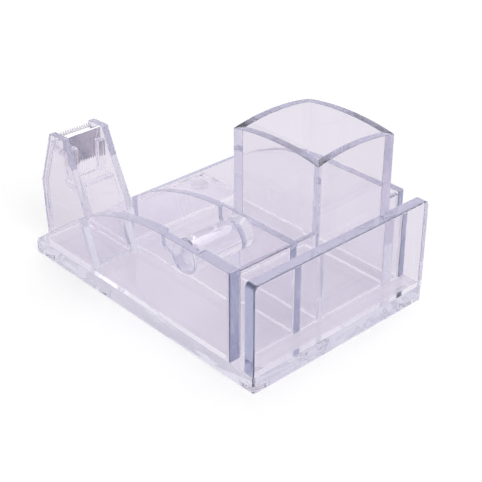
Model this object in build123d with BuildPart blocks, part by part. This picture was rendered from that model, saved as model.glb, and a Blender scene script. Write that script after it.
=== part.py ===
from build123d import *
import math
import os

# A clear desk organizer: a tape dispenser along the front side, a tall pen cup, an open tray that
# wraps round the cup, and a memo slot across the far end.
#
# Millimetres. The frame's origin is under the middle of the base, on the surface that the feet
# stand on: +X runs from the dispenser's tower to the memo panel, +Y from the front side to the
# back side, +Z up. Places named "_from_tower" count along X from the tower end of the base, places
# named "_from_front" count along Y from the front side, and heights stand on the base's top face.

# Base and feet
base_length = 166.0
base_width = 112.0
base_thickness = 8.6
base_corner = 1.6
base_bevel_run = 2.6
base_bevel_drop = 4.6
foot_radius = 4.8
foot_thickness = 2.2
foot_proud = 1.0
foot_inset = 7.4
foot_seat_clearance = 0.05
foot_edge = 0.4

# Sheet thicknesses
front_sheet = 6.2
inner_sheet = 3.8
back_sheet = 4.2
tray_sheet = 4.2
end_sheet = 2.8
memo_sheet = 6.4
cup_sheet = 4.2
polish = 0.5

# Arched side walls
arch_height = 46.2
arch_ramp_slope = 0.716
arch_flat_length = 43.0

# Tape bay, tray and memo slot
gap_beside_tower = 2.5
memo_slot = 9.0
memo_height = 46.6
memo_corner = 3.0
end_wall_below_arch = 1.0
tray_wall_from_tower = 34.6

# Pen cup
cup_length = 54.5
cup_height = 78.3
cup_rim_rise = 2.7
cup_gap_at_inner_wall = 12.1
cup_gap_at_back_wall = 6.0

# Hub that the tape roll hangs on, and the grooves that hold its ends
hub_to_wall_end = 32.3
hub_below_arch = 7.2
hub_radius = 8.0
hub_edge = 0.8
hub_end_gap = 0.3
hub_seat_clearance = 0.06
front_groove_depth = 2.2
inner_groove_depth = 1.8
groove_mouth_before_axis = 14.8
groove_mouth_past_axis = 3.6
groove_ledge_below_axis = 1.4
groove_ledge_round = 3.0

# Tower that carries the cutter
tower_inner_width = 20.0
cheek_sheet = 3.7
cheek_round = 0.6
tower_foot_from_tower = 2.7
tower_foot_length = 45.8
tower_bulge_from_tower = 1.7
tower_bulge_height = 31.8
tower_tip_from_tower = 11.9
tower_tip_height = 60.6
tower_shoulder_from_tower = 23.3
tower_shoulder_height = 61.3
tower_waist_from_tower = 30.2
tower_waist_height = 44.9
tower_hip_from_tower = 38.6
tower_hip_height = 27.4
nose_sheet = 3.0
nose_inset = 0.6
nose_below_tip = 4.6
rear_sheet = 3.0
rear_inset = 2.4
shelf_sheet = 2.6
shelf_height = 37.6
shelf_length = 8.0

# Cutter, a steel strip with teeth along both long edges, and what holds it
blade_sheet = 0.5
blade_side_gap = 0.1
blade_crest_behind_tip = 10.0
blade_crest_above_tip = 0.3
blade_flat_run = 7.0
blade_flat_fall = 2.7
blade_tooth_run = 1.5
blade_tooth_rise = 2.1
blade_tooth_count = 14
blade_skirt_depth = 16.0
skirt_tooth_depth = 1.6
bed_depth = 9.4
guide_width = 4.0
guide_depth = 3.4
guide_below_crest = 5.8
guide_round = 1.2

os.makedirs("parts", exist_ok=True)

base_bottom = foot_proud
base_top = foot_proud + base_thickness
wall_end = base_length - memo_sheet - memo_slot
bay_width = 2 * cheek_sheet + tower_inner_width + gap_beside_tower
inner_front = front_sheet + bay_width
inner_back = inner_front + inner_sheet
back_front = base_width - back_sheet
cup_start = wall_end - cup_length
cup_front = inner_back + cup_gap_at_inner_wall
cup_back = back_front - cup_gap_at_back_wall
cup_width = cup_back - cup_front
hub_place = wall_end - hub_to_wall_end
hub_height = arch_height - hub_below_arch
end_wall_height = arch_height - end_wall_below_arch
tower_front = front_sheet
tower_inside = tower_front + cheek_sheet
tower_back = tower_inside + tower_inner_width + cheek_sheet


def along(from_tower):
    """Frame X of a place counted from the tower end."""
    return from_tower - base_length / 2


def across(from_front):
    """Frame Y of a place counted from the front side."""
    return from_front - base_width / 2


def level(height):
    """Frame Z of a height above the base's top face."""
    return base_top + height


def side_plane(from_front):
    """Upright plane that faces the front side; its sketches read X, Z."""
    return Plane.XZ.offset(-across(from_front))


def end_plane(from_tower):
    """Upright plane that faces the memo panel; its sketches read Y, Z."""
    return Plane.YZ.offset(along(from_tower))


def finish(piece, label):
    """Name a finished piece and write it."""
    piece.part.label = label
    export_step(piece.part, f"parts/{label}.step")


# The arch: a straight ramp up from the bevel, a flat top, and an arc tangent to both between them
ramp_pitch = math.atan(arch_ramp_slope)
flat_start = wall_end - arch_flat_length
bend_place = base_bevel_run + arch_height / arch_ramp_slope
bend_run = flat_start - bend_place
arch_radius = bend_run / math.tan(ramp_pitch / 2)
ramp_end = bend_place - bend_run * math.cos(ramp_pitch)


def arch_at(from_tower):
    """Height of the arch above the base's top face."""
    if from_tower < ramp_end:
        return (from_tower - base_bevel_run) * arch_ramp_slope
    lean = min(from_tower - flat_start, 0)
    return arch_height - arch_radius + math.sqrt(arch_radius**2 - lean**2)


def arch_point(from_tower):
    """Point on the arch, in a side plane's X, Z."""
    return (along(from_tower), level(arch_at(from_tower)))


def arched_face(plane, start, stop):
    """Face under the arch between two places."""
    bends = [place for place in (ramp_end, flat_start) if start < place < stop]
    stations = [start, *bends, stop]
    with BuildSketch(plane) as face:
        with BuildLine():
            for near, far in zip(stations, stations[1:]):
                middle = (near + far) / 2
                if ramp_end < middle < flat_start:
                    ThreePointArc(arch_point(near), arch_point(middle), arch_point(far))
                else:
                    Line(arch_point(near), arch_point(far))
            foot = (along(start), level(0))
            Polyline(arch_point(stop), (along(stop), level(0)), foot)
            if arch_at(start) > polish:
                Line(foot, arch_point(start))
        make_face()
    return face.sketch


def groove_face(plane):
    """Groove that takes a hub's end: a wide mouth down to a ledge, and a round seat beside it."""
    seat = hub_radius + hub_seat_clearance
    ledge = hub_height - groove_ledge_below_axis
    depth = arch_height + polish - ledge
    with BuildSketch(plane) as groove:
        with Locations((along(hub_place - groove_mouth_before_axis), level(ledge))):
            mouth_length = groove_mouth_before_axis + groove_mouth_past_axis
            Rectangle(mouth_length, depth, align=(Align.MIN, Align.MIN))
        ledge_end = groove.vertices().sort_by(Axis.X)[:2].sort_by(Axis.Y)[0]
        fillet(ledge_end, groove_ledge_round)
        with Locations((along(hub_place), level(hub_height))):
            Circle(seat)
    return groove.sketch


# Base plate, with the tower end bevelled and a shallow seat for each foot
foot_places = [
    (along(foot_inset), across(foot_inset)),
    (along(base_length - foot_inset), across(foot_inset)),
    (along(foot_inset), across(base_width - foot_inset)),
    (along(base_length - foot_inset), across(base_width - foot_inset)),
]
with BuildPart() as base_plate:
    with BuildSketch(Plane.XY.offset(base_bottom)):
        RectangleRounded(base_length, base_width, base_corner)
    extrude(amount=base_thickness)
    with BuildSketch(side_plane(base_width)):
        with BuildLine():
            Polyline(
                (along(0), level(-base_bevel_drop)),
                (along(base_bevel_run), level(0)),
                (along(0), level(0)),
                close=True,
            )
        make_face()
    extrude(amount=base_width, mode=Mode.SUBTRACT)
    with BuildSketch(Plane.XY.offset(base_bottom)):
        with Locations(foot_places):
            Circle(foot_radius + foot_seat_clearance)
    extrude(amount=foot_thickness - foot_proud, mode=Mode.SUBTRACT)
finish(base_plate, "base_plate")

# Four round feet, part sunk in the base
foot_names = ["foot_tower_front", "foot_memo_front", "foot_tower_back", "foot_memo_back"]
for foot_name, (foot_x, foot_y) in zip(foot_names, foot_places):
    with BuildPart() as foot:
        with BuildSketch(Plane.XY):
            with Locations((foot_x, foot_y)):
                Circle(foot_radius)
        extrude(amount=foot_thickness)
        chamfer(foot.faces().sort_by(Axis.Z)[0].edges(), foot_edge)
    finish(foot, foot_name)

# Front side wall, grooved on the bay side for the hub's front end
with BuildPart() as front_side_wall:
    extrude(arched_face(side_plane(front_sheet), base_bevel_run, wall_end), amount=front_sheet)
    extrude(groove_face(side_plane(front_sheet)), amount=front_groove_depth, mode=Mode.SUBTRACT)
    end_face = front_side_wall.faces().filter_by(Plane.YZ).sort_by(Axis.X)[-1]
    chamfer(end_face.edges().filter_by(Axis.Z), polish)
finish(front_side_wall, "front_side_wall")

# Inner side wall, between the tape bay and the tray, grooved for the hub's back end
with BuildPart() as inner_side_wall:
    extrude(arched_face(side_plane(inner_back), base_bevel_run, wall_end), amount=inner_sheet)
    groove_bottom = side_plane(inner_front + inner_groove_depth)
    extrude(groove_face(groove_bottom), amount=inner_groove_depth, mode=Mode.SUBTRACT)
finish(inner_side_wall, "inner_side_wall")

# Back side wall, from the tray's end to the memo slot
with BuildPart() as back_side_wall:
    extrude(arched_face(side_plane(base_width), tray_wall_from_tower, wall_end), amount=back_sheet)
    end_face = back_side_wall.faces().filter_by(Plane.YZ).sort_by(Axis.X)[-1]
    chamfer(end_face.edges().filter_by(Axis.Z), polish)
finish(back_side_wall, "back_side_wall")

# Tray's end wall on the tower side, as tall as the arch there
tray_start = tray_wall_from_tower + tray_sheet
with BuildPart() as tray_left_wall:
    tray_section = arched_face(side_plane(back_front), tray_wall_from_tower, tray_start)
    extrude(tray_section, amount=back_front - inner_back)
finish(tray_left_wall, "tray_left_wall")

# Thin walls that close the ends of the bay, of the strip beside the cup and of the tray
end_walls = {
    "bay_end_wall": (front_sheet, inner_front),
    "channel_end_wall": (inner_back, cup_front),
    "tray_end_wall": (cup_back, back_front),
}
for end_name, (near_side, far_side) in end_walls.items():
    with BuildPart() as end_wall:
        with BuildSketch(end_plane(wall_end - end_sheet)):
            with Locations((across(near_side), level(0))):
                Rectangle(far_side - near_side, end_wall_height, align=(Align.MIN, Align.MIN))
        extrude(amount=end_sheet)
        rim = end_wall.faces().sort_by(Axis.Z)[-1]
        chamfer(rim.edges().filter_by(Axis.Y), polish)
    finish(end_wall, end_name)

# Memo panel, across the whole width, with its top corners rounded
with BuildPart() as memo_panel:
    with BuildSketch(end_plane(base_length - memo_sheet)):
        with Locations((across(base_width / 2), level(0))):
            Rectangle(base_width, memo_height, align=(Align.CENTER, Align.MIN))
    extrude(amount=memo_sheet)
    top_corners = memo_panel.edges().filter_by(Axis.X).group_by(Axis.Z)[-1]
    fillet(top_corners, memo_corner)
    outer_face = memo_panel.faces().filter_by(Plane.YZ).sort_by(Axis.X)[-1]
    inner_face = memo_panel.faces().filter_by(Plane.YZ).sort_by(Axis.X)[0]
    face_edges = outer_face.edges() + inner_face.edges()
    chamfer([edge for edge in face_edges if edge.center().Z > level(polish)], polish)
finish(memo_panel, "memo_panel")

# Pen cup: four walls mitred at the corners, each with its rim arched up
cup_middle = (
    along(cup_start + cup_length / 2),
    across(cup_front + cup_width / 2),
    base_top,
)
cup_sides = {
    "cup_front_wall": (-90, cup_length, cup_width / 2),
    "cup_right_wall": (0, cup_width, cup_length / 2),
    "cup_back_wall": (90, cup_length, cup_width / 2),
    "cup_left_wall": (180, cup_width, cup_length / 2),
}
for side_name, (facing, span, reach) in cup_sides.items():
    turn = math.radians(facing)
    outward = Vector(math.cos(turn), math.sin(turn), 0)
    sideways = Vector(-math.sin(turn), math.cos(turn), 0)
    plan_plane = Plane(origin=cup_middle, x_dir=sideways, z_dir=(0, 0, 1))
    face_plane = Plane(origin=cup_middle, x_dir=sideways, z_dir=outward).offset(reach)
    with BuildPart() as cup_wall:
        with BuildSketch(plan_plane):
            with BuildLine():
                Polyline(
                    (-span / 2, -reach),
                    (span / 2, -reach),
                    (span / 2 - cup_sheet, cup_sheet - reach),
                    (cup_sheet - span / 2, cup_sheet - reach),
                    close=True,
                )
            make_face()
        extrude(amount=cup_height + cup_rim_rise)
        with BuildSketch(face_plane):
            with BuildLine():
                ThreePointArc(
                    (-span / 2, cup_height),
                    (0, cup_height + cup_rim_rise),
                    (span / 2, cup_height),
                )
                Polyline(
                    (span / 2, cup_height),
                    (span / 2, 0),
                    (-span / 2, 0),
                    (-span / 2, cup_height),
                )
            make_face()
        extrude(amount=-cup_sheet, mode=Mode.INTERSECT)
    finish(cup_wall, side_name)


# Tower outline, as places from the tower end and heights
bulge = (tower_bulge_from_tower, tower_bulge_height)
tip = (tower_tip_from_tower, tower_tip_height)
shoulder = (tower_shoulder_from_tower, tower_shoulder_height)
waist = (tower_waist_from_tower, tower_waist_height)
hip = (tower_hip_from_tower, tower_hip_height)
heel = (tower_foot_from_tower + tower_foot_length, 0)
toe = (tower_foot_from_tower, 0)


def place_on(lower, upper, height):
    """Place from the tower end where the line between two outline points has a height."""
    share = (height - lower[1]) / (upper[1] - lower[1])
    return lower[0] + share * (upper[0] - lower[0])


def side_face(plane, points):
    """Closed face from places and heights, seen from the front side."""
    with BuildSketch(plane) as face:
        with BuildLine():
            Polyline(*[(along(place), level(height)) for place, height in points], close=True)
        make_face()
    return face.sketch


# Tower cheeks, either side of the tape's path
cheeks = {
    "tower_front_cheek": tower_inside,
    "tower_back_cheek": tower_back,
}
for cheek_name, far_side in cheeks.items():
    with BuildPart() as cheek:
        outline = [toe, bulge, tip, shoulder, waist, hip, heel]
        extrude(side_face(side_plane(far_side), outline), amount=cheek_sheet)
        above_foot = [edge for edge in cheek.edges().filter_by(Axis.Y) if edge.center().Z > level(1)]
        fillet(above_foot, cheek_round)
    finish(cheek, cheek_name)

# Everything between the cheeks spans from one inner face to the other
between_cheeks = side_plane(tower_inside + tower_inner_width)

# Nose panel, the tower's outer end
nose_top = tower_tip_height - nose_below_tip
nose_face = [
    (toe[0] + nose_inset, 0),
    (bulge[0] + nose_inset, bulge[1]),
    (place_on(bulge, tip, nose_top) + nose_inset, nose_top),
]
nose_back = [(place + nose_sheet, height) for place, height in reversed(nose_face)]
with BuildPart() as tower_nose_panel:
    extrude(side_face(between_cheeks, nose_face + nose_back), amount=tower_inner_width)
finish(tower_nose_panel, "tower_nose_panel")

# Rear panel, which slants down into the tape bay
rear_face = [
    (place_on(hip, waist, shelf_height) - rear_inset, shelf_height),
    (hip[0] - rear_inset, hip[1]),
    (heel[0] - rear_inset, 0),
]
rear_back = [(place - rear_sheet, height) for place, height in reversed(rear_face)]
with BuildPart() as tower_rear_panel:
    extrude(side_face(between_cheeks, rear_face + rear_back), amount=tower_inner_width)
finish(tower_rear_panel, "tower_rear_panel")

# Shelf behind the cutter, level with the rear panel's top
shelf_under = shelf_height - shelf_sheet
shelf_end = place_on(hip, waist, shelf_height) - rear_inset - rear_sheet
shelf_under_end = place_on(hip, waist, shelf_under) - rear_inset - rear_sheet
shelf_start = shelf_end - shelf_length
shelf_section = [
    (shelf_start, shelf_height),
    (shelf_end, shelf_height),
    (shelf_under_end, shelf_under),
    (shelf_start, shelf_under),
]
with BuildPart() as tower_shelf:
    extrude(side_face(between_cheeks, shelf_section), amount=tower_inner_width)
finish(tower_shelf, "tower_shelf")

# Cutter strip: teeth turned up at the nose, a flat that rises to the crest, and a skirt behind
crest = (tower_tip_from_tower + blade_crest_behind_tip, tower_tip_height + blade_crest_above_tip)
trough = (crest[0] - blade_flat_run, crest[1] - blade_flat_fall)
tooth_tip = (trough[0] - blade_tooth_run, trough[1] + blade_tooth_rise)
skirt_end = (crest[0], crest[1] - blade_skirt_depth)
blade_width = tower_inner_width - 2 * blade_side_gap
tooth_width = blade_width / blade_tooth_count
blade_back = tower_inside + blade_side_gap + blade_width


def tooth_gaps(start, root, depth):
    """Saw-tooth cutter across the blade, from its roots outwards, standing at a place."""
    first = across(blade_back - blade_width)
    zigzag = []
    for tooth in range(blade_tooth_count):
        zigzag.append((first + tooth * tooth_width, level(root)))
        zigzag.append((first + (tooth + 0.5) * tooth_width, level(root + depth)))
    last = first + blade_width
    beyond = level(root + 2 * depth)
    with BuildSketch(end_plane(start)) as gaps:
        with BuildLine():
            Polyline(*zigzag, (last, level(root)), (last, beyond), (first, beyond), close=True)
        make_face()
    return gaps.sketch


with BuildPart() as cutter_blade:
    with BuildSketch(side_plane(blade_back)):
        with BuildLine():
            strip_line = [tooth_tip, trough, crest, skirt_end]
            Polyline(*[(along(place), level(height)) for place, height in strip_line])
            offset(amount=blade_sheet, side=Side.RIGHT)
        make_face()
    extrude(amount=blade_width)
    upper_gaps = tooth_gaps(tooth_tip[0] - blade_tooth_run, trough[1], blade_tooth_rise)
    extrude(upper_gaps, amount=2 * blade_tooth_run, mode=Mode.SUBTRACT)
    skirt_root = skirt_end[1] + skirt_tooth_depth
    lower_gaps = tooth_gaps(crest[0] - 2 * blade_sheet, skirt_root, -skirt_tooth_depth)
    extrude(lower_gaps, amount=4 * blade_sheet, mode=Mode.SUBTRACT)
finish(cutter_blade, "cutter_blade")

# Bed under the cutter, carried by the nose panel
flat_slope = blade_flat_fall / blade_flat_run
flat_drop = blade_sheet * math.hypot(1, flat_slope)


def bed_top(place):
    """Height of the blade flat's underside at a place."""
    return crest[1] - (crest[0] - place) * flat_slope - flat_drop


bed_end = crest[0] - blade_sheet
bed_under = bed_top(bed_end) - bed_depth
nose_back_top = place_on(bulge, tip, nose_top) + nose_inset + nose_sheet
nose_back_low = place_on(bulge, tip, bed_under) + nose_inset + nose_sheet
bed_section = [
    (nose_back_low, bed_under),
    (nose_back_top, nose_top),
    (trough[0] + blade_sheet, bed_top(trough[0] + blade_sheet)),
    (bed_end, bed_top(bed_end)),
    (bed_end, bed_under),
]
with BuildPart() as blade_bed:
    extrude(side_face(between_cheeks, bed_section), amount=tower_inner_width)
finish(blade_bed, "blade_bed")

# Guides that hold the cutter's skirt against the bed, one beside each cheek
guide_top = crest[1] - guide_below_crest
guides = {
    "blade_front_guide": tower_inside + guide_width,
    "blade_back_guide": tower_inside + tower_inner_width,
}
for guide_name, far_side in guides.items():
    with BuildPart() as guide:
        with BuildSketch(side_plane(far_side)):
            with Locations((along(crest[0]), level(shelf_height))):
                Rectangle(guide_depth, guide_top - shelf_height, align=(Align.MIN, Align.MIN))
        extrude(amount=guide_width)
        rounded = guide.edges().filter_by(Axis.Y).group_by(Axis.Z)[-1].sort_by(Axis.X)[-1]
        fillet(rounded, guide_round)
    finish(guide, guide_name)

# Hub: a round bar whose ends turn in the grooves of the two walls
hub_front_end = front_sheet - front_groove_depth + hub_end_gap
hub_back_end = inner_front + inner_groove_depth - hub_end_gap
with BuildPart() as tape_hub:
    with BuildSketch(side_plane(hub_back_end)):
        with Locations((along(hub_place), level(hub_height))):
            Circle(hub_radius)
    extrude(amount=hub_back_end - hub_front_end)
    chamfer(tape_hub.edges().filter_by(GeomType.CIRCLE), hub_edge)
finish(tape_hub, "tape_hub")
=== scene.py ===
import math

import bpy
from bpy.props import FloatProperty, FloatVectorProperty, IntProperty, PointerProperty
from mathutils import Matrix, Vector


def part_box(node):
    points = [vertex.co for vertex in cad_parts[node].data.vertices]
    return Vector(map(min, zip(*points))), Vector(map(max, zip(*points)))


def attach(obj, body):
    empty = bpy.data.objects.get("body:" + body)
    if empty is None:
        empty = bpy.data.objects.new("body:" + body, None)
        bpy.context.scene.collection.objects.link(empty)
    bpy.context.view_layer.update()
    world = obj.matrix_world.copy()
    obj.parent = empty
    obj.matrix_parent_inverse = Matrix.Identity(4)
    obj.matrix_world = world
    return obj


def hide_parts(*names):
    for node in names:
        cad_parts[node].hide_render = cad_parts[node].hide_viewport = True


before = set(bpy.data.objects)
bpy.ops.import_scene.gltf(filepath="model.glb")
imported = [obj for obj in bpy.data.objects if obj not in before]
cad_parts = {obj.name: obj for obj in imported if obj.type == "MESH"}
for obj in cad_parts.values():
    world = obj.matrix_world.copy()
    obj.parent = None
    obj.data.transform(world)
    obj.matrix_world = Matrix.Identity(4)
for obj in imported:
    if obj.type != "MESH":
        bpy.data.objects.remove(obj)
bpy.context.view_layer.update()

bl_info = {
    "name": "Clear Desk Organizer",
    "version": (1, 0, 0),
    "blender": (4, 5, 0),
    "location": "3D View > Sidebar > Organizer",
    "description": "Clear desk organizer with a tape dispenser, a pen cup, a tray and a memo slot",
    "category": "Add Mesh",
}

BODY = "organizer"
HUB_BODY = "hub"

FEET = ["foot_tower_front", "foot_memo_front", "foot_tower_back", "foot_memo_back"]
WALLS = [
    "front_side_wall", "inner_side_wall", "back_side_wall", "tray_left_wall",
    "bay_end_wall", "channel_end_wall", "tray_end_wall",
]
CUP = ["cup_front_wall", "cup_right_wall", "cup_back_wall", "cup_left_wall"]
TOWER = [
    "tower_front_cheek", "tower_back_cheek", "tower_nose_panel", "tower_rear_panel",
    "tower_shelf", "blade_bed", "blade_front_guide", "blade_back_guide",
]
BASE = "base_plate"
MEMO = "memo_panel"
CUTTER = "cutter_blade"
HUB = "tape_hub"

WHITE = (1.0, 1.0, 1.0)

# Where pieces stand on the base, and how near to a place counts as there
BASE_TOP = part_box(BASE)[1][2]
NEAR = 0.0001

# Corners this near in metres are one corner, and faces this level are one face
MERGE_WITHIN = 0.000002
FLAT_WITHIN = math.radians(0.05)

# An edge that turns more than this is a cut edge, and is polished round
SHARP_FROM = math.radians(28.0)

# The photograph's side and the fitted focal length in pixels, and the sensor's width in mm
PHOTO_SIDE = 482
FOCAL_PIXELS = 1180
SENSOR_WIDTH = 36.0

# A ray crosses many sheets, with two surfaces each
BOUNCES = 40
CLEAR_BOUNCES = 48


# ---------------------------------------------------------------- shader maths


class Wire:
    """A node's output that adds and multiplies as a number does."""

    def __init__(self, finish, socket):
        self.finish = finish
        self.socket = socket

    def maths(self, operation, other):
        return self.finish.node("ShaderNodeMath", {"operation": operation}, {0: self, 1: other})

    def __add__(self, other):
        return self.maths("ADD", other)

    def __mul__(self, other):
        return self.maths("MULTIPLY", other)

    __radd__ = __add__
    __rmul__ = __mul__

    def either(self, other):
        return self.maths("MAXIMUM", other)


class Finish:
    """The nodes of one material or world."""

    def __init__(self, owner):
        owner.use_nodes = True
        self.tree = owner.node_tree
        self.tree.nodes.clear()

    def node(self, kind, settings=None, sockets=None, output=0):
        """Add a node: settings first, then values or links, and give one of its outputs."""
        made = self.tree.nodes.new(kind)
        for name, value in (settings or {}).items():
            setattr(made, name, value)
        for name, value in (sockets or {}).items():
            if isinstance(value, Wire):
                self.tree.links.new(value.socket, made.inputs[name])
            elif made.inputs[name].type == "RGBA":
                made.inputs[name].default_value = (*value[:3], 1.0)
            else:
                made.inputs[name].default_value = value
        return Wire(self, made.outputs[output]) if made.outputs else None

    def place(self):
        return self.node("ShaderNodeTexCoord", output="Object")

    def noise(self, place, scale, detail, roughness):
        sockets = {"Vector": place, "Scale": scale, "Detail": detail, "Roughness": roughness}
        return self.node("ShaderNodeTexNoise", None, sockets, "Fac")

    def vector(self, operation, sockets, output=0):
        return self.node("ShaderNodeVectorMath", {"operation": operation}, sockets, output)

    def stretched(self, place, stretch):
        """Place multiplied along each axis, for grain that runs one way."""
        return self.vector("MULTIPLY", {0: place, 1: stretch})

    def ease(self, value, low, high, start=0.0, stop=1.0):
        """Value carried smoothly from low..high to start..stop."""
        sockets = {
            "Value": value, "From Min": low, "From Max": high, "To Min": start, "To Max": stop,
        }
        return self.node("ShaderNodeMapRange", {"interpolation_type": "SMOOTHSTEP"}, sockets)

    def blend(self, share, first, second):
        """Colour between two colours."""
        # The Mix node's colours are sockets 6 and 7, and the mixed colour is output 2
        settings = {"data_type": "RGBA"}
        return self.node("ShaderNodeMix", settings, {0: share, 6: first, 7: second}, 2)

    def bump(self, height, strength, distance):
        sockets = {"Height": height, "Strength": strength, "Distance": distance}
        return self.node("ShaderNodeBump", None, sockets)

    def ray(self, kind):
        return self.node("ShaderNodeLightPath", output=f"Is {kind} Ray")

    def in_plastic(self):
        """Whether a ray comes through the plastic or off its polish."""
        return self.ray("Transmission").either(self.ray("Glossy"))

    def lets_light(self, shader, tint):
        """Shader that lets light into its shadow, tinted once at each surface."""
        clear = self.node("ShaderNodeBsdfTransparent", None, {"Color": tint})
        return self.node("ShaderNodeMixShader", None, {0: self.ray("Shadow"), 1: shader, 2: clear})

    def surface(self, shader, volume=None):
        sockets = {"Surface": shader}
        if volume is not None:
            sockets["Volume"] = volume
        self.node("ShaderNodeOutputMaterial", None, sockets)


def grey(level):
    return (level, level, level)


def material(name, build, *look):
    """The material of that name, built once."""
    found = bpy.data.materials.get(name)
    if found is None:
        found = bpy.data.materials.new(name)
        build(Finish(found), *look)
    return found


# ---------------------------------------------------------------- materials


def clear_plastic(finish, look, density, swell_depth, stretch):
    """Polished clear plastic with a faint lavender tint, slightly uneven as cast sheet is."""
    place = finish.stretched(finish.place(), stretch)
    swell = finish.noise(place, look.swell_scale, detail=1.0, roughness=0.4)
    ripple = finish.noise(place, look.ripple_scale, detail=2.0, roughness=0.5)
    smear = finish.noise(place, look.smear_scale, detail=4.0, roughness=0.65)
    height = swell + ripple * look.ripple_share
    pale = finish.ease(swell, low=0.35, high=0.65)
    smeared = look.gloss_rough + look.smear_rough
    glass = finish.node("ShaderNodeBsdfPrincipled", None, {
        "Base Color": finish.blend(pale, look.tint, look.tint_pale),
        "Roughness": finish.ease(smear, low=0.35, high=0.75, start=look.gloss_rough, stop=smeared),
        "IOR": look.ior,
        "Transmission Weight": 1.0,
        "Normal": finish.bump(height, 1.0, swell_depth),
    })
    depth = finish.node("ShaderNodeVolumeAbsorption", None, {
        "Color": look.depth_tint, "Density": density,
    })
    finish.surface(finish.lets_light(glass, look.shadow_tint), depth)


def brushed_steel(finish, look):
    """Bright strip steel with dull patches, its rolling lines across the blade."""
    place = finish.place()
    lines = finish.noise(finish.stretched(place, look.lines), 1.0, detail=3.0, roughness=0.6)
    patches = finish.noise(place, look.patch_scale, detail=2.0, roughness=0.5)
    bright = finish.ease(patches, low=0.3, high=0.7)
    uneven = lines * look.line_share + patches * (1.0 - look.line_share)
    shine = finish.node("ShaderNodeBsdfPrincipled", None, {
        "Base Color": finish.blend(bright, look.dull, look.bright),
        "Metallic": 1.0,
        "Roughness": finish.ease(uneven, low=0.3, high=0.7, start=look.smooth, stop=look.rough),
        "Normal": finish.bump(lines, look.line_strength, look.line_depth),
    })
    finish.surface(shine)


def foot_rubber(finish, look):
    """Matt half-clear rubber with a fine grain and a little dust."""
    place = finish.place()
    grain = finish.noise(place, look.grain_scale, detail=3.0, roughness=0.6)
    dust = finish.noise(place, look.dust_scale, detail=4.0, roughness=0.6)
    dusted = finish.ease(dust, low=0.4, high=0.75)
    matt = finish.node("ShaderNodeBsdfPrincipled", None, {
        "Base Color": finish.blend(dusted, look.body, look.dusty),
        "Roughness": finish.ease(grain, low=0.3, high=0.7, start=look.smooth, stop=look.rough),
        "IOR": look.ior,
        "Transmission Weight": look.clearness,
        "Normal": finish.bump(grain, look.grain_strength, look.grain_depth),
    })
    finish.surface(finish.lets_light(matt, look.body))


def studio_floor(finish, look):
    """Plain pale floor: white to the eye, pale lavender in and through the plastic, and darkened
    by painted shade in reflections.
    """
    in_plastic = finish.in_plastic()
    # Painted shade: reflections show the floor darker than the plastic does, standing in for less
    # light on it
    lavender = finish.blend(finish.ray("Reflection"), look.floor_through, look.floor_mirrored_shaded)
    away = finish.vector("LENGTH", {0: finish.place()}, "Value")
    far = finish.ease(away, look.floor_near, look.floor_far)
    to_eye = finish.blend(far, grey(look.floor_white), WHITE)
    glow = finish.blend(finish.ray("Camera"), grey(look.floor_glow), to_eye)
    glow_in_plastic = [look.floor_glow * part for part in look.floor_through]
    paper = finish.node("ShaderNodeBsdfPrincipled", None, {
        "Base Color": finish.blend(in_plastic, grey(look.floor_tone), lavender),
        "Roughness": look.floor_rough,
        "Specular IOR Level": 0.0,
        "Emission Color": finish.blend(in_plastic, glow, glow_in_plastic),
        "Emission Strength": 1.0,
    })
    finish.surface(paper)


def studio_air(finish, look):
    """White behind the object, a pale lavender room in its depth, and soft fill light.

    Reflections also show a bright ceiling panel, as polished curves do in a studio.
    """
    toward = finish.node("ShaderNodeTexCoord", output="Generated")
    height = finish.node("ShaderNodeSeparateXYZ", None, {0: toward}, "Z")
    up = finish.ease(height, low=0.05, high=0.7)
    room = finish.blend(up, look.room_low, look.room_high)
    middle = Vector(look.panel_toward).normalized()
    nearness = finish.vector("DOT_PRODUCT", {0: toward, 1: middle}, "Value")
    panel = finish.ease(nearness, look.panel_edge, look.panel_edge + look.panel_fade)
    room = finish.blend(panel * finish.ray("Reflection"), room, grey(look.panel_light))
    lit = finish.blend(finish.in_plastic(), grey(look.fill_light), room)
    seen = finish.blend(finish.ray("Camera"), lit, WHITE)
    sky = finish.node("ShaderNodeBackground", None, {"Color": seen, "Strength": 1.0})
    finish.node("ShaderNodeOutputWorld", None, {"Surface": sky})


# ---------------------------------------------------------------- modelling


def deselect():
    bpy.ops.object.select_all(action="DESELECT")


def pick(piece):
    """Make one piece the selected and active one."""
    deselect()
    piece.select_set(True)
    bpy.context.view_layer.objects.active = piece


def merged_copy(node, name):
    """Copy of a node's shape with whole faces in place of loose triangles."""
    piece = bpy.data.objects.new(name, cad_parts[node].data.copy())
    bpy.context.collection.objects.link(piece)
    piece.data.materials.clear()
    pick(piece)
    bpy.ops.object.mode_set(mode="EDIT")
    bpy.ops.mesh.select_mode(type="VERT")
    bpy.ops.mesh.select_all(action="SELECT")
    bpy.ops.mesh.remove_doubles(threshold=MERGE_WITHIN)
    bpy.ops.mesh.customdata_custom_splitnormals_clear()
    bpy.ops.mesh.dissolve_limited(angle_limit=FLAT_WITHIN)
    bpy.ops.mesh.normals_make_consistent(inside=False)
    bpy.ops.object.mode_set(mode="OBJECT")
    return piece


def draw_in(piece, gap):
    """Bring every face in by half a bonded joint, so that no two pieces share a place."""
    pick(piece)
    bpy.ops.object.mode_set(mode="EDIT")
    bpy.ops.mesh.select_all(action="SELECT")
    bpy.ops.transform.shrink_fatten(value=-gap, use_even_offset=True)
    bpy.ops.object.mode_set(mode="OBJECT")


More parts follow.
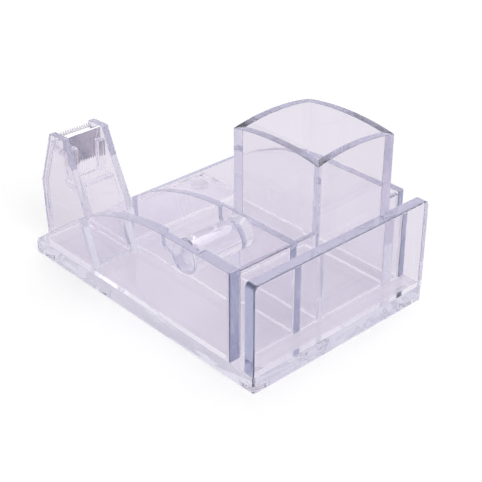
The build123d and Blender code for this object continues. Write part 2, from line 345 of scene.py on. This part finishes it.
def soften_edges(piece, width, segments, keep=None):
    """Polish the cut edges round except those to keep, and keep the flats' shading flat."""
    pick(piece)
    bpy.ops.object.shade_smooth()
    faces_at = {}
    for face in piece.data.polygons:
        for key in face.edge_keys:
            faces_at.setdefault(key, []).append(face.normal)
    weights = piece.data.attributes.new("bevel_weight_edge", "FLOAT", "EDGE")
    for edge in piece.data.edges:
        normals = faces_at[edge.key]
        ends = [piece.data.vertices[end].co for end in edge.vertices]
        sharp = len(normals) == 2 and normals[0].angle(normals[1], 0.0) > SHARP_FROM
        kept = bool(keep and keep(ends))
        edge.use_edge_sharp = sharp and kept
        weights.data[edge.index].value = float(sharp and not kept)
    bevel = piece.modifiers.new("polished_edges", "BEVEL")
    bevel.width = width
    bevel.segments = segments
    bevel.limit_method = "WEIGHT"
    bevel.use_clamp_overlap = True
    flats = piece.modifiers.new("flat_faces", "WEIGHTED_NORMAL")
    flats.mode = "FACE_AREA"
    flats.keep_sharp = True
    bpy.ops.object.modifier_apply(modifier=bevel.name)
    bpy.ops.object.modifier_apply(modifier=flats.name)


def finished(piece, node, body, look_material):
    """Give a piece its material, attach it to what it moves with, and hide the node that it stands
    in for.
    """
    piece.data.materials.clear()
    piece.data.materials.append(look_material)
    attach(piece, body)
    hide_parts(node)


def select_edges(piece, test):
    """Select in edit mode the edges whose two ends pass a test."""
    pick(piece)
    bpy.ops.object.mode_set(mode="EDIT")
    bpy.ops.mesh.select_mode(type="EDGE")
    bpy.ops.mesh.select_all(action="DESELECT")
    bpy.ops.object.mode_set(mode="OBJECT")
    places = piece.data.vertices
    for edge in piece.data.edges:
        edge.select = test([places[end].co for end in edge.vertices])
    bpy.ops.object.mode_set(mode="EDIT")


def at_base_top(ends):
    """Whether an edge lies in the joint with the base."""
    return all(abs(end.z - BASE_TOP) < NEAR for end in ends)


def polished_sheet(context, node, kind, body=BODY):
    """Clear piece in a node's place, its edges polished except where it stands on the base."""
    look = context.scene.organizer_plastic
    swell, stretch, keep = look.swell_depth, (1.0, 1.0, 1.0), at_base_top
    if kind == "base":
        swell, stretch, keep = look.base_swell, (1.0, 1.0, look.base_streak), None
    density = getattr(look, f"{kind}_density")
    piece = merged_copy(node, f"{node}_polished")
    draw_in(piece, look.joint_gap)
    soften_edges(piece, look.edge_polish, look.edge_segments, keep)
    plastic = material(f"clear_{kind}_look", clear_plastic, look, density, swell, stretch)
    finished(piece, node, body, plastic)


def soft_box(name, place, target, size, power):
    """Square soft light that points at a target."""
    lamp = bpy.data.lights.new(name, "AREA")
    lamp.shape = "SQUARE"
    lamp.size = size
    lamp.energy = power
    light = bpy.data.objects.new(name, lamp)
    bpy.context.collection.objects.link(light)
    light.location = place
    light.visible_transmission = False
    light.rotation_euler = (Vector(target) - Vector(place)).to_track_quat("-Z", "Y").to_euler()


def photo_camera(context, look):
    """Camera at the photograph's viewing angle."""
    lens = bpy.data.cameras.new("camera")
    camera = bpy.data.objects.new("camera", lens)
    context.collection.objects.link(camera)
    lens.sensor_width = SENSOR_WIDTH
    lens.lens = look.camera_lens
    lens.clip_start = look.camera_nearest
    lens.clip_end = look.camera_farthest
    right = Vector(look.camera_right).normalized()
    forward = Vector(look.camera_forward).normalized()
    turned = Matrix((right, right.cross(forward), -forward)).transposed().to_4x4()
    turned.translation = Vector(look.camera_place)
    camera.matrix_world = turned
    context.scene.camera = camera


# ---------------------------------------------------------------- sizes and colours


class PlasticLook(bpy.types.PropertyGroup):
    tint: FloatVectorProperty(
        name="Tint", description="What one thickness of the plastic lets through",
        subtype="COLOR", size=3, min=0.0, max=1.0, default=(0.980, 0.969, 0.984))
    tint_pale: FloatVectorProperty(
        name="Pale tint", description="The same in the palest places",
        subtype="COLOR", size=3, min=0.0, max=1.0, default=(0.991, 0.982, 0.993))
    depth_tint: FloatVectorProperty(
        name="Depth tint", description="Colour that long ways through the plastic turn to",
        subtype="COLOR", size=3, min=0.0, max=1.0, default=(0.45, 0.50, 0.69))
    shadow_tint: FloatVectorProperty(
        name="Shadow tint", description="Light that each surface lets into the shadow",
        subtype="COLOR", size=3, min=0.0, max=1.0, default=(0.835, 0.83, 0.84))
    base_density: FloatProperty(
        name="Base density",
        description="How fast the depth tint builds up in the base plate, per metre",
        default=2.0, min=0.0)
    wall_density: FloatProperty(
        name="Wall density",
        description="How fast it builds up in the walls and the memo panel, per metre",
        default=9.5, min=0.0)
    cup_density: FloatProperty(
        name="Cup density", description="How fast it builds up in the pen cup, per metre",
        default=6.0, min=0.0)
    tower_density: FloatProperty(
        name="Tower density",
        description="How fast it builds up in the tower and the hub, per metre",
        default=6.5, min=0.0)
    ior: FloatProperty(
        name="Refraction", description="Refractive index of the plastic", default=1.49, min=1.0)
    gloss_rough: FloatProperty(
        name="Gloss roughness", description="Least roughness of the polish",
        default=0.012, min=0.0)
    smear_rough: FloatProperty(
        name="Smear roughness", description="Roughness that smears add to the polish",
        default=0.02, min=0.0)
    smear_scale: FloatProperty(
        name="Smear scale", description="Smears on the polish, per metre", default=65.0, min=0.0)
    swell_scale: FloatProperty(
        name="Swell scale", description="Swells of the sheet, per metre", default=26.0, min=0.0)
    ripple_scale: FloatProperty(
        name="Ripple scale", description="Ripples on the swells, per metre",
        default=70.0, min=0.0)
    ripple_share: FloatProperty(
        name="Ripple share", description="Depth of a ripple as a share of a swell's",
        default=0.15, min=0.0)
    swell_depth: FloatProperty(
        name="Swell depth", description="Depth of the swells",
        default=0.0004, min=0.0, unit="LENGTH", precision=5)
    base_swell: FloatProperty(
        name="Base swell depth", description="Depth of the swells in the base plate",
        default=0.0005, min=0.0, unit="LENGTH", precision=5)
    base_streak: FloatProperty(
        name="Base streaks", description="How much the swells lie down along the base's sides",
        default=5.0, min=1.0)
    edge_polish: FloatProperty(
        name="Edge polish", description="Width of the rounding along each cut edge",
        default=0.00025, min=0.0, unit="LENGTH", precision=5)
    edge_segments: IntProperty(
        name="Edge segments", description="Steps across an edge's rounding", default=3, min=1)
    joint_gap: FloatProperty(
        name="Joint", description="Half the thickness of a bonded joint",
        default=0.00002, min=0.0, unit="LENGTH", precision=6)


class SteelLook(bpy.types.PropertyGroup):
    bright: FloatVectorProperty(
        name="Bright steel", description="Colour of the strip's bright patches",
        subtype="COLOR", size=3, min=0.0, max=1.0, default=(0.68, 0.66, 0.69))
    dull: FloatVectorProperty(
        name="Dull steel", description="Colour of its dull patches",
        subtype="COLOR", size=3, min=0.0, max=1.0, default=(0.61, 0.59, 0.63))
    smooth: FloatProperty(
        name="Least roughness", description="Roughness where the strip is smoothest",
        subtype="FACTOR", default=0.13, min=0.0, max=1.0)
    rough: FloatProperty(
        name="Most roughness", description="Roughness where the strip is roughest",
        subtype="FACTOR", default=0.24, min=0.0, max=1.0)
    lines: FloatVectorProperty(
        name="Rolling lines", description="Lines per metre along each axis",
        size=3, default=(5200.0, 160.0, 5200.0))
    line_share: FloatProperty(
        name="Line share",
        description="How much of the roughness follows the lines, and not the patches",
        subtype="FACTOR", default=0.6, min=0.0, max=1.0)
    line_strength: FloatProperty(
        name="Line strength", description="How strongly the lines bend the light",
        subtype="FACTOR", default=0.2, min=0.0, max=1.0)
    line_depth: FloatProperty(
        name="Line depth", description="Depth of the rolling lines",
        default=0.00002, min=0.0, unit="LENGTH", precision=6)
    patch_scale: FloatProperty(
        name="Patch scale", description="Bright and dull patches per metre",
        default=190.0, min=0.0)
    bend: FloatProperty(
        name="Bend", description="Rounding where the strip turns down into its skirt",
        default=0.0005, min=0.0, unit="LENGTH", precision=5)
    bend_segments: IntProperty(
        name="Bend segments", description="Steps across the bend", default=5, min=1)
    burr: FloatProperty(
        name="Edge rounding", description="Rounding of the strip's edges",
        default=0.00005, min=0.0, unit="LENGTH", precision=6)
    burr_segments: IntProperty(
        name="Edge segments", description="Steps across an edge's rounding", default=1, min=1)


class FootLook(bpy.types.PropertyGroup):
    body: FloatVectorProperty(
        name="Rubber", description="Colour of the feet",
        subtype="COLOR", size=3, min=0.0, max=1.0, default=(0.90, 0.89, 0.92))
    dusty: FloatVectorProperty(
        name="Dusty rubber", description="Colour where dust sits on the feet",
        subtype="COLOR", size=3, min=0.0, max=1.0, default=(0.94, 0.93, 0.96))
    clearness: FloatProperty(
        name="Clearness", description="Share of light that goes into the rubber",
        subtype="FACTOR", default=0.95, min=0.0, max=1.0)
    ior: FloatProperty(
        name="Refraction", description="Refractive index of the rubber", default=1.45, min=1.0)
    smooth: FloatProperty(
        name="Least roughness", description="Roughness between the grains",
        subtype="FACTOR", default=0.28, min=0.0, max=1.0)
    rough: FloatProperty(
        name="Most roughness", description="Roughness on the grains",
        subtype="FACTOR", default=0.42, min=0.0, max=1.0)
    grain_scale: FloatProperty(
        name="Grain scale", description="Grains per metre", default=2600.0, min=0.0)
    grain_strength: FloatProperty(
        name="Grain strength", description="How strongly the grain bends the light",
        subtype="FACTOR", default=0.4, min=0.0, max=1.0)
    grain_depth: FloatProperty(
        name="Grain depth", description="Depth of the grain",
        default=0.0001, min=0.0, unit="LENGTH", precision=5)
    dust_scale: FloatProperty(
        name="Dust scale", description="Dusty patches per metre", default=240.0, min=0.0)
    rim_round: FloatProperty(
        name="Rim rounding", description="Rounding of a foot's rim",
        default=0.0003, min=0.0, unit="LENGTH", precision=5)
    rim_segments: IntProperty(
        name="Rim segments", description="Steps across the rim's rounding", default=3, min=1)


class StageLook(bpy.types.PropertyGroup):
    floor_size: FloatProperty(
        name="Floor size", description="Length of the floor's sides",
        default=8.0, min=0.0, unit="LENGTH")
    floor_height: FloatProperty(
        name="Floor height", description="Height of the floor, a hair below the feet",
        default=-0.0002, unit="LENGTH", precision=5)
    floor_rough: FloatProperty(
        name="Floor roughness", description="Roughness of the floor",
        subtype="FACTOR", default=0.9, min=0.0, max=1.0)
    floor_tone: FloatProperty(
        name="Floor tone", description="How pale the floor is",
        subtype="FACTOR", default=0.82, min=0.0, max=1.0)
    floor_glow: FloatProperty(
        name="Floor glow", description="Light of its own that the floor gives",
        default=0.26, min=0.0)
    floor_white: FloatProperty(
        name="Floor white", description="The same as the eye sees it near the object",
        default=0.27, min=0.0)
    floor_near: FloatProperty(
        name="Near floor", description="How far out the floor keeps the object's shadow",
        default=0.12, min=0.0, unit="LENGTH")
    floor_far: FloatProperty(
        name="Far floor", description="From how far out the floor is wholly white to the eye",
        default=0.8, min=0.0, unit="LENGTH")
    floor_through: FloatVectorProperty(
        name="Floor in plastic", description="Floor colour as it shows in and through the plastic",
        subtype="COLOR", size=3, min=0.0, max=1.0, default=(0.72, 0.693, 0.75))
    # Painted shade: a darker copy of the floor's colour that only reflections show
    floor_mirrored_shaded: FloatVectorProperty(
        name="Floor mirrored", description="Floor colour as it shows in reflections",
        subtype="COLOR", size=3, min=0.0, max=1.0, default=(0.48, 0.46, 0.50))
    room_low: FloatVectorProperty(
        name="Room low", description="Room near the horizon as the plastic shows it",
        subtype="COLOR", size=3, min=0.0, max=1.0, default=(0.84, 0.80, 0.89))
    room_high: FloatVectorProperty(
        name="Room high", description="Room overhead as the plastic shows it",
        subtype="COLOR", size=3, min=0.0, max=1.0, default=(0.92, 0.90, 0.95))
    fill_light: FloatProperty(
        name="Fill light", description="Strength of the soft light from all round",
        default=0.55, min=0.0)
    panel_toward: FloatVectorProperty(
        name="Panel direction", description="Direction of the ceiling panel in reflections",
        subtype="DIRECTION", size=3, default=(0.05, 0.58, 0.81))
    panel_edge: FloatProperty(
        name="Panel edge", description="Cosine of the panel's half width",
        subtype="FACTOR", default=0.89, min=0.0, max=1.0)
    panel_fade: FloatProperty(
        name="Panel fade", description="How much cosine the panel's soft edge takes up",
        subtype="FACTOR", default=0.06, min=0.0, max=1.0)
    panel_light: FloatProperty(
        name="Panel light", description="How bright reflections show the panel",
        default=4.0, min=0.0)
    lights_target: FloatVectorProperty(
        name="Lights' target", description="Place that the soft boxes point at",
        subtype="TRANSLATION", unit="LENGTH", size=3, default=(0.0, 0.0, 0.03))
    key_place: FloatVectorProperty(
        name="Key light place", description="Where the main soft box hangs",
        subtype="TRANSLATION", unit="LENGTH", size=3, default=(1.6, -0.5, 1.7))
    key_size: FloatProperty(
        name="Key light size", description="Length of the main soft box's sides",
        default=1.2, min=0.0, unit="LENGTH")
    key_power: FloatProperty(
        name="Key light power", description="Power of the main soft box in watts",
        default=24.0, min=0.0)
    side_place: FloatVectorProperty(
        name="Side light place", description="Where the second soft box hangs",
        subtype="TRANSLATION", unit="LENGTH", size=3, default=(-1.0, 0.9, 2.0))
    side_size: FloatProperty(
        name="Side light size", description="Length of the second soft box's sides",
        default=1.0, min=0.0, unit="LENGTH")
    side_power: FloatProperty(
        name="Side light power", description="Power of the second soft box in watts",
        default=7.0, min=0.0)
    camera_place: FloatVectorProperty(
        name="Camera place", description="Where the camera stands",
        subtype="TRANSLATION", unit="LENGTH", size=3, default=(0.3794, -0.3361, 0.3188))
    camera_forward: FloatVectorProperty(
        name="Camera forward", description="Direction that the camera looks in",
        subtype="DIRECTION", size=3, default=(-0.634, 0.583, -0.5075))
    camera_right: FloatVectorProperty(
        name="Camera right", description="Direction of the picture's right side",
        subtype="DIRECTION", size=3, default=(0.677, 0.736, 0.0))
    camera_lens: FloatProperty(
        name="Focal length", description="In millimetres on a sensor 36 mm wide",
        default=FOCAL_PIXELS / PHOTO_SIDE * SENSOR_WIDTH, min=1.0)
    camera_nearest: FloatProperty(
        name="Nearest", description="Nearest distance that the camera sees",
        default=0.01, min=0.0, unit="LENGTH")
    camera_farthest: FloatProperty(
        name="Farthest", description="Farthest distance that the camera sees",
        default=50.0, min=0.0, unit="LENGTH")


# ---------------------------------------------------------------- operators


class ORGANIZER_OT_base(bpy.types.Operator):
    """Add the thick clear base plate"""

    bl_idname = "organizer.base"
    bl_label = "Base Plate"

    def execute(self, context):
        polished_sheet(context, BASE, "base")
        return {"FINISHED"}


class ORGANIZER_OT_walls(bpy.types.Operator):
    """Add the arched side walls, the tray's wall and the thin end walls"""

    bl_idname = "organizer.walls"
    bl_label = "Walls"

    def execute(self, context):
        for node in WALLS:
            polished_sheet(context, node, "wall")
        return {"FINISHED"}


class ORGANIZER_OT_memo(bpy.types.Operator):
    """Add the thick memo panel"""

    bl_idname = "organizer.memo"
    bl_label = "Memo Panel"

    def execute(self, context):
        polished_sheet(context, MEMO, "wall")
        return {"FINISHED"}


class ORGANIZER_OT_cup(bpy.types.Operator):
    """Add the pen cup's four walls"""

    bl_idname = "organizer.cup"
    bl_label = "Pen Cup"

    def execute(self, context):
        for node in CUP:
            polished_sheet(context, node, "cup")
        return {"FINISHED"}


class ORGANIZER_OT_tower(bpy.types.Operator):
    """Add the cutter's tower: cheeks, panels, shelf, bed and guides"""

    bl_idname = "organizer.tower"
    bl_label = "Tower"

    def execute(self, context):
        for node in TOWER:
            polished_sheet(context, node, "tower")
        return {"FINISHED"}


class ORGANIZER_OT_hub(bpy.types.Operator):
    """Add the clear bar that the tape roll turns on"""

    bl_idname = "organizer.hub"
    bl_label = "Tape Hub"

    def execute(self, context):
        polished_sheet(context, HUB, "tower", HUB_BODY)
        return {"FINISHED"}


class ORGANIZER_OT_cutter(bpy.types.Operator):
    """Add the toothed steel cutter"""

    bl_idname = "organizer.cutter"
    bl_label = "Cutter"

    def execute(self, context):
        look = context.scene.organizer_steel
        blade = merged_copy(CUTTER, "cutter_blade_brushed")
        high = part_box(CUTTER)[1]
        select_edges(blade, lambda ends: all(
            end.x > high[0] - NEAR and end.z > high[2] - look.bend - NEAR for end in ends))
        bpy.ops.mesh.bevel(offset=look.bend, segments=look.bend_segments, affect="EDGES")
        bpy.ops.object.mode_set(mode="OBJECT")
        soften_edges(blade, look.burr, look.burr_segments)
        steel = material("brushed_steel_look", brushed_steel, look)
        finished(blade, CUTTER, BODY, steel)
        return {"FINISHED"}


class ORGANIZER_OT_feet(bpy.types.Operator):
    """Add the four feet"""

    bl_idname = "organizer.feet"
    bl_label = "Feet"

    def execute(self, context):
        look = context.scene.organizer_feet
        for node in FEET:
            foot = merged_copy(node, f"{node}_pad")
            soften_edges(foot, look.rim_round, look.rim_segments)
            rubber = material("foot_rubber_look", foot_rubber, look)
            finished(foot, node, BODY, rubber)
        return {"FINISHED"}


class ORGANIZER_OT_stage(bpy.types.Operator):
    """Add the floor, the lights, the surroundings and the camera"""

    bl_idname = "organizer.stage"
    bl_label = "Stage"

    def execute(self, context):
        look = context.scene.organizer_stage
        deselect()
        bpy.ops.mesh.primitive_plane_add(
            size=look.floor_size, location=(0.0, 0.0, look.floor_height))
        floor = context.active_object
        floor.name = "studio_floor"
        floor.data.materials.append(material("studio_floor_look", studio_floor, look))

        air = bpy.data.worlds.new("studio_air")
        studio_air(Finish(air), look)
        context.scene.world = air

        target = look.lights_target
        soft_box("key_light", look.key_place, target, look.key_size, look.key_power)
        soft_box("side_light", look.side_place, target, look.side_size, look.side_power)
        photo_camera(context, look)

        context.scene.view_settings.view_transform = "Standard"
        cycles = context.scene.cycles
        cycles.max_bounces = BOUNCES
        cycles.transmission_bounces = BOUNCES
        cycles.glossy_bounces = BOUNCES
        cycles.transparent_max_bounces = CLEAR_BOUNCES
        return {"FINISHED"}


OPERATORS = [
    ORGANIZER_OT_stage, ORGANIZER_OT_base, ORGANIZER_OT_feet, ORGANIZER_OT_walls,
    ORGANIZER_OT_memo, ORGANIZER_OT_cup, ORGANIZER_OT_tower, ORGANIZER_OT_cutter,
    ORGANIZER_OT_hub,
]
LOOKS = {
    "organizer_plastic": PlasticLook,
    "organizer_steel": SteelLook,
    "organizer_feet": FootLook,
    "organizer_stage": StageLook,
}


class ORGANIZER_PT_panel(bpy.types.Panel):
    """Lists the pieces of the organizer"""

    bl_idname = "ORGANIZER_PT_panel"
    bl_label = "Clear Desk Organizer"
    bl_space_type = "VIEW_3D"
    bl_region_type = "UI"
    bl_category = "Organizer"

    def draw(self, context):
        for operator in OPERATORS:
            self.layout.operator(operator.bl_idname)


def register():
    for name, look in LOOKS.items():
        bpy.utils.register_class(look)
        setattr(bpy.types.Scene, name, PointerProperty(type=look))
    for operator in OPERATORS:
        bpy.utils.register_class(operator)
    bpy.utils.register_class(ORGANIZER_PT_panel)


def unregister():
    bpy.utils.unregister_class(ORGANIZER_PT_panel)
    for operator in reversed(OPERATORS):
        bpy.utils.unregister_class(operator)
    for name, look in LOOKS.items():
        delattr(bpy.types.Scene, name)
        bpy.utils.unregister_class(look)


def main():
    register()
    for operator in OPERATORS:
        group, action = operator.bl_idname.split(".")
        getattr(getattr(bpy.ops, group), action)()


if __name__ == "__main__":
    main()
